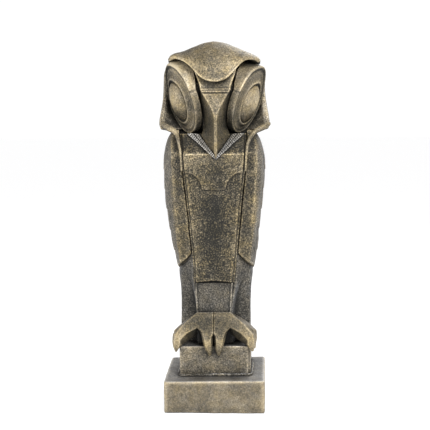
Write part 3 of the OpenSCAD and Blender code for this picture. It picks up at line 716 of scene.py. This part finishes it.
def eye_matrix(side):
    """The directions and the centre of a disc: sideways, up and out of its face."""
    normal = Vector(
        (
            math.sin(EYE_YAW) * math.cos(EYE_PITCH),
            -math.cos(EYE_YAW) * math.cos(EYE_PITCH),
            -math.sin(EYE_PITCH),
        )
    )
    right = Vector((math.cos(EYE_YAW), math.sin(EYE_YAW), 0))
    up = normal.cross(right)
    upright = Matrix((right, up, normal)).transposed()
    matrix = np.array(upright @ Matrix.Rotation(-EYE_LEAN[side], 3, "Z"))
    centre = np.array(EYE_CENTRE[side])
    matrix[0] *= side
    centre[0] *= side
    return matrix, centre


def resampled(profile, steps):
    """A smooth run of (share, height) rows through the profile, close together where it bends."""
    share, height = np.array(profile).T
    length = np.concatenate([[0], np.cumsum(np.hypot(np.diff(share) * 25, np.diff(height)))])
    t = np.linspace(0, length[-1], steps)
    rows = np.stack([np.interp(t, length, share), np.interp(t, length, height)], 1)
    for _ in range(4):
        rows[1:-1] += 0.5 * ((rows[:-2] + rows[2:]) / 2 - rows[1:-1])
    return rows


def grid_mesh(name, rings):
    """A closed mesh from rings of points, with a fan over the first and the last."""
    count, across = len(rings), len(rings[0])
    points = np.concatenate([*rings, [rings[0].mean(0)], [rings[-1].mean(0)]])
    faces = []
    for k in range(count - 1):
        for i in range(across):
            j = (i + 1) % across
            faces.append((k * across + i, k * across + j, (k + 1) * across + j, (k + 1) * across + i))
    for i in range(across):
        j = (i + 1) % across
        faces.append((j, i, count * across))
        faces.append(((count - 1) * across + i, (count - 1) * across + j, count * across + 1))
    mesh = bpy.data.meshes.new(name)
    mesh.from_pydata((points * MM).tolist(), [], faces)
    bm = bmesh.new()
    bm.from_mesh(mesh)
    bmesh.ops.recalc_face_normals(bm, faces=bm.faces)
    bm.to_mesh(mesh)
    bm.free()
    return mesh


def eye_disc(side, name):
    """A disc: its wall from the back forwards, then its face from the rim inwards."""
    turns = np.linspace(0, 2 * math.pi, 240, endpoint=False)
    outline = eye_outline(turns)
    middle = np.array(EYE_RINGS_AT[side])
    matrix, centre = eye_matrix(side)
    lean = EYE_LEAN[side]
    level = outline[:, 1] * math.cos(lean) - outline[:, 0] * math.sin(lean)
    front = smoothstep(-outline[:, 0] * math.cos(lean) - outline[:, 1] * math.sin(lean), 3, 9)
    cut = front * bell(level, RIM_BREAK, NOTCH_HALF)
    upper = front * smoothstep(level, RIM_BREAK - 0.6, RIM_BREAK + 0.6)
    back = -EYE_THICK - EYE_TAPER * np.maximum(level - EYE_BREAK, 0)
    climb = WALL_RISE[side] * smoothstep(level, 6, 26)[:, None] * np.array([-math.sin(lean), math.cos(lean)])
    rings = []
    for depth in np.linspace(1, 0.06, 16):
        inset = BACK_INSET * smoothstep(depth, 0.9, 1.0) + NOTCH_INSET * cut
        flat = outline * (1 - inset / EYE_MEAN)[:, None] + climb * depth
        rings.append(np.column_stack([flat, back * depth]))
    for share, height in resampled(EYE_PROFILE, 70):
        flat = middle * (1 - share) + outline * share
        rim = smoothstep(share, 0.93, 0.96)
        flat = flat * (1 - rim * NOTCH_INSET * cut / EYE_MEAN)[:, None]
        rise = RIM_STEP * upper * rim - NOTCH_DEPTH * cut * rim
        rings.append(np.column_stack([flat, height + rise]))
    world = [ring @ matrix.T + centre for ring in rings]
    mesh = grid_mesh(name, world)
    finished(name, mesh, grain=0.8, rounds=1)


def eyeball(side, name):
    """A dome in the disc's seat, from its flat back over its edge to its middle."""
    turns = np.linspace(0, 2 * math.pi, 160, endpoint=False)
    rings_at = np.array(EYE_RINGS_AT[side])
    edge = rings_at * (1 - BALL_SHARE) + eye_outline(turns) * BALL_SHARE
    middle = np.array(BALL_MIDDLE[side])
    matrix, centre = eye_matrix(side)
    rings = [np.column_stack([middle + (edge - middle) * 0.9, np.full(len(edge), BALL_BACK)])]
    for share, height in resampled(BALL_PROFILE, 44)[:-1]:
        rings.append(np.column_stack([middle + (edge - middle) * share, np.full(len(edge), height)]))
    mesh = grid_mesh(name, [ring @ matrix.T + centre for ring in rings])
    finished(name, mesh, grain=0.8, rounds=1)


# ---------- the pieces ----------
casting("plinth", voxel=0.7, levels=0, rounds=3, grain=0.9)
casting("perch_block", voxel=0.55, levels=0, rounds=3)
casting("bedding_joint", voxel=0.35, levels=0, rounds=2, grain=4.5)
casting("torso_core")
casting("breast_shield", voxel=0.55)
casting("bib", voxel=0.4, rounds=1, detail=bib_rise)
casting("lower_panel", voxel=0.45, rounds=2)
for side_name in ("left", "right"):
    casting(side_name + "_wing", detail=feathers)
    casting(side_name + "_foot", voxel=0.45, levels=0, rounds=4)
    casting(side_name + "_collar", voxel=0.4, levels=0, rounds=10)
    casting(side_name + "_throat_band", voxel=0.3, levels=1, rounds=2, detail=hatching, grain=0.6)
casting("tail", detail=tail_feathers)
casting("head_core", rounds=6)
casting("face_mask", voxel=0.45, detail=brow_line)
casting("crown_cap", voxel=0.6)
casting("hood")
for side, side_name in ((-1, "left"), (1, "right")):
    eye_disc(side, side_name + "_eye_disc")
    eyeball(side, side_name + "_eyeball")
for node in ("tie_rod", "washer", "nut", "neck_dowel"):
    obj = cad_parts[node]
    obj.data.materials.clear()
    obj.data.materials.append(STEEL)
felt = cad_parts["felt_pad"]
felt.data.materials.clear()
felt.data.materials.append(FELT)


# ---------- floor, light and camera ----------
def floor():
    bpy.ops.mesh.primitive_plane_add(size=12, location=(0, 0, 0))
    obj = bpy.context.object
    obj.name = "floor"
    n = Nodes("pale_floor")
    n.shader.inputs["Base Color"].default_value = (0.3, 0.3, 0.3, 1)
    n.shader.inputs["Roughness"].default_value = 0.9
    n.shader.inputs["Emission Color"].default_value = (1, 1, 1, 1)
    n.shader.inputs["Emission Strength"].default_value = 0.8
    obj.data.materials.append(n.material)


def soft_light(name, place, size, power, aim=(0, 0, 0.18)):
    light = bpy.data.lights.new(name, "AREA")
    light.size = size
    light.energy = power
    obj = bpy.data.objects.new(name, light)
    obj.location = place
    obj.rotation_euler = (Vector(aim) - Vector(place)).to_track_quat("-Z", "Y").to_euler()
    bpy.context.scene.collection.objects.link(obj)


def studio():
    """White all round at eye level and dimmer overhead, so that the lamps shape the figure."""
    world = bpy.data.worlds.new("studio")
    bpy.context.scene.world = world
    world.use_nodes = True
    tree = world.node_tree
    background = tree.nodes["Background"]
    direction = tree.nodes.new("ShaderNodeTexCoord").outputs["Generated"]
    split = tree.nodes.new("ShaderNodeSeparateXYZ")
    tree.links.new(direction, split.inputs[0])
    ramp = tree.nodes.new("ShaderNodeValToRGB")
    ramp.color_ramp.elements[0].position = 0.22
    ramp.color_ramp.elements[0].color = (1.05, 1.05, 1.05, 1)
    ramp.color_ramp.elements[1].position = 0.5
    ramp.color_ramp.elements[1].color = (0.4, 0.4, 0.41, 1)
    tree.links.new(split.outputs["Z"], ramp.inputs["Fac"])
    tree.links.new(ramp.outputs["Color"], background.inputs["Color"])
    background.inputs["Strength"].default_value = 1.0
    soft_light("key", (0.5, -0.85, 0.95), 0.5, 16)
    soft_light("fill", (-0.8, -0.75, 0.6), 0.7, 7)
    soft_light("rim", (0.3, 0.8, 0.8), 0.6, 5)


CAMERA_PLACE = (43.9, -930.9, 275.0)
CAMERA_LENS = 87.9
CAMERA_TURN = [math.radians(angle) for angle in (2.72, 6.5, 0.4)]  # to the left, down, and tilted


def camera():
    """From a little to the right of the figure and a little above it, a few steps away."""
    data = bpy.data.cameras.new("camera")
    data.sensor_width = 36
    data.lens = CAMERA_LENS
    obj = bpy.data.objects.new("camera", data)
    bpy.context.scene.collection.objects.link(obj)
    yaw, pitch, roll = CAMERA_TURN
    forward = Vector(
        (-math.sin(yaw) * math.cos(pitch), math.cos(yaw) * math.cos(pitch), -math.sin(pitch))
    )
    level = Vector((math.cos(yaw), math.sin(yaw), 0))
    upright = level.cross(forward)
    right = level * math.cos(roll) - upright * math.sin(roll)
    up = level * math.sin(roll) + upright * math.cos(roll)
    matrix = Matrix((right, up, -forward)).transposed().to_4x4()
    matrix.translation = Vector(CAMERA_PLACE) * MM
    obj.matrix_world = matrix
    bpy.context.scene.camera = obj


floor()
studio()
camera()
bpy.context.scene.view_settings.view_transform = "Standard"
